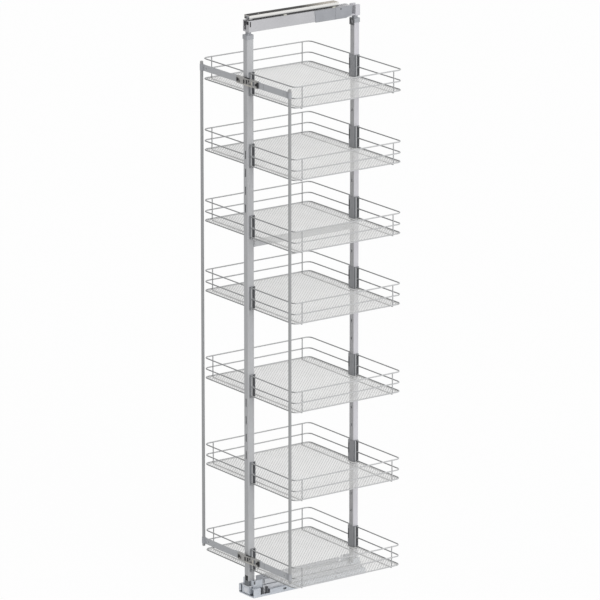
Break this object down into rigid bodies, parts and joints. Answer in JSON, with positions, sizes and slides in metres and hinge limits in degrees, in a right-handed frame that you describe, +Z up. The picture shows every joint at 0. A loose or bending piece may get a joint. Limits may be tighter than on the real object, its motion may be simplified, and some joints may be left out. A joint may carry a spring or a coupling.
{
  "type": "pull out pantry frame",
  "caption": "Full-height pull-out larder frame: slotted uprights on a full-extension base runner with a top guide, hook-on wire baskets and an adjustable front panel frame.",
  "frame": {"origin": "middle of the base rail's underside, on the cabinet floor", "axes": "+X to the right seen from the front, +Y from the front to the back, +Z up"},
  "size_m": [0.5579, 0.5037, 2.102],
  "materials": {
    "zinc_steel": "zinc-plated sheet, satin",
    "grey_steel": "grey lacquered sheet, satin",
    "dark_nylon": "moulded nylon, matte",
    "grey_upright": "grey powder coat, satin",
    "grey_plastic": "grey moulded plastic, fine grain",
    "black_plastic": "black moulded plastic, matte",
    "polished_steel": "bright zinc, polished",
    "drawn_aluminium": "drawn, natural",
    "beige_nylon": "natural nylon, matte",
    "pale_steel": "pale grey powder coat, satin",
    "zinc_bolts": "zinc plated",
    "dark_chrome": "dark chrome, polished",
    "satin_metal": "satin grey, drawn",
    "grey_wire": "grey powder coat, satin",
    "mesh_steel": "pale grey powder coat, satin",
    "hook_steel": "grey powder coat, satin"
  },
  "bodies": {
    "cabinet_side": {"base_rail": "zinc_steel", "base_glides": "dark_nylon", "top_rail": "polished_steel"},
    "base_middle": {"base_middle_rail": "grey_steel"},
    "middle_front_roller_pair": {"middle_front_rollers": "dark_nylon"},
    "middle_rear_roller_pair": {"middle_rear_rollers": "dark_nylon"},
    "top_middle": {"top_middle_rail": "drawn_aluminium", "top_glides": "beige_nylon"},
    "frame": {"carriage_tray": "grey_steel", "carriage_shoes": "zinc_steel", "carriage_runner": "zinc_steel", "front_upright": "grey_upright", "rear_upright": "grey_upright", "upright_caps": "grey_plastic", "upright_feet": "black_plastic", "top_beam": "pale_steel", "soft_close_housing": "grey_plastic", "soft_close_damper": "black_plastic", "front_hanger": "pale_steel", "rear_hanger": "grey_plastic", "hanger_bolts": "zinc_bolts", "rear_clip": "black_plastic", "clamp_plates": "zinc_steel"},
    "carriage_front_roller_pair": {"carriage_front_rollers": "dark_nylon"},
    "carriage_rear_roller_pair": {"carriage_rear_rollers": "dark_nylon"},
    "front_frame": {"bar_clamps": "dark_chrome", "clamp_screws": "zinc_bolts", "upper_bar": "satin_metal", "lower_bar": "satin_metal", "front_rods": "satin_metal", "rod_clips": "grey_plastic"},
    "basket_1": {"basket_1_wires": "grey_wire", "basket_1_floor": "mesh_steel", "basket_1_front_hook": "hook_steel", "basket_1_rear_hook": "hook_steel"},
    "basket_2": {"basket_2_wires": "grey_wire", "basket_2_floor": "mesh_steel", "basket_2_front_hook": "hook_steel", "basket_2_rear_hook": "hook_steel"},
    "basket_3": {"basket_3_wires": "grey_wire", "basket_3_floor": "mesh_steel", "basket_3_front_hook": "hook_steel", "basket_3_rear_hook": "hook_steel"},
    "basket_4": {"basket_4_wires": "grey_wire", "basket_4_floor": "mesh_steel", "basket_4_front_hook": "hook_steel", "basket_4_rear_hook": "hook_steel"},
    "basket_5": {"basket_5_wires": "grey_wire", "basket_5_floor": "mesh_steel", "basket_5_front_hook": "hook_steel", "basket_5_rear_hook": "hook_steel"},
    "basket_6": {"basket_6_wires": "grey_wire", "basket_6_floor": "mesh_steel", "basket_6_front_hook": "hook_steel", "basket_6_rear_hook": "hook_steel"},
    "basket_7": {"basket_7_wires": "grey_wire", "basket_7_floor": "mesh_steel", "basket_7_front_hook": "hook_steel", "basket_7_rear_hook": "hook_steel"}
  },
  "joints": [
    {"name": "pull_out", "type": "slide", "parent": "cabinet_side", "child": "frame", "axis": [0, -1, 0], "range_m": [0, 0.48]},
    {"name": "base_middle_slide", "type": "slide", "parent": "cabinet_side", "child": "base_middle", "axis": [0, -1, 0], "range_m": [0, 0.24]},
    {"name": "top_middle_slide", "type": "slide", "parent": "cabinet_side", "child": "top_middle", "axis": [0, -1, 0], "range_m": [0, 0.24]},
    {"name": "middle_front_roll", "type": "hinge", "parent": "base_middle", "child": "middle_front_roller_pair", "pos_m": [0, 0.11, 0.0105], "axis": [1, 0, 0], "range_deg": [0, 1678]},
    {"name": "middle_rear_roll", "type": "hinge", "parent": "base_middle", "child": "middle_rear_roller_pair", "pos_m": [0, 0.215, 0.0105], "axis": [1, 0, 0], "range_deg": [0, 1678]},
    {"name": "carriage_front_roll", "type": "hinge", "parent": "frame", "child": "carriage_front_roller_pair", "pos_m": [0, 0.06, 0.0205], "axis": [1, 0, 0], "range_deg": [0, 1042]},
    {"name": "carriage_rear_roll", "type": "hinge", "parent": "frame", "child": "carriage_rear_roller_pair", "pos_m": [0, 0.2, 0.0205], "axis": [1, 0, 0], "range_deg": [0, 1042]},
    {"name": "side_adjust", "type": "slide", "parent": "frame", "child": "front_frame", "axis": [1, 0, 0], "range_m": [-0.03, 0.01]},
    {"name": "basket_1_lift", "type": "slide", "parent": "frame", "child": "basket_1", "axis": [0, 0, 1], "range_m": [0, 0.004]},
    {"name": "basket_2_lift", "type": "slide", "parent": "frame", "child": "basket_2", "axis": [0, 0, 1], "range_m": [0, 0.004]},
    {"name": "basket_3_lift", "type": "slide", "parent": "frame", "child": "basket_3", "axis": [0, 0, 1], "range_m": [0, 0.004]},
    {"name": "basket_4_lift", "type": "slide", "parent": "frame", "child": "basket_4", "axis": [0, 0, 1], "range_m": [0, 0.004]},
    {"name": "basket_5_lift", "type": "slide", "parent": "frame", "child": "basket_5", "axis": [0, 0, 1], "range_m": [0, 0.004]},
    {"name": "basket_6_lift", "type": "slide", "parent": "frame", "child": "basket_6", "axis": [0, 0, 1], "range_m": [0, 0.004]},
    {"name": "basket_7_lift", "type": "slide", "parent": "frame", "child": "basket_7", "axis": [0, 0, 1], "range_m": [0, 0.004]}
  ],
  "couplings": [
    {"joint": "base_middle_slide", "follows": "pull_out", "ratio": 0.5},
    {"joint": "top_middle_slide", "follows": "pull_out", "ratio": 0.5},
    {"joint": "middle_front_roll", "follows": "pull_out", "rad_per_m": 60.976},
    {"joint": "middle_rear_roll", "follows": "pull_out", "rad_per_m": 60.976},
    {"joint": "carriage_front_roll", "follows": "pull_out", "rad_per_m": 37.879},
    {"joint": "carriage_rear_roll", "follows": "pull_out", "rad_per_m": 37.879}
  ]
}
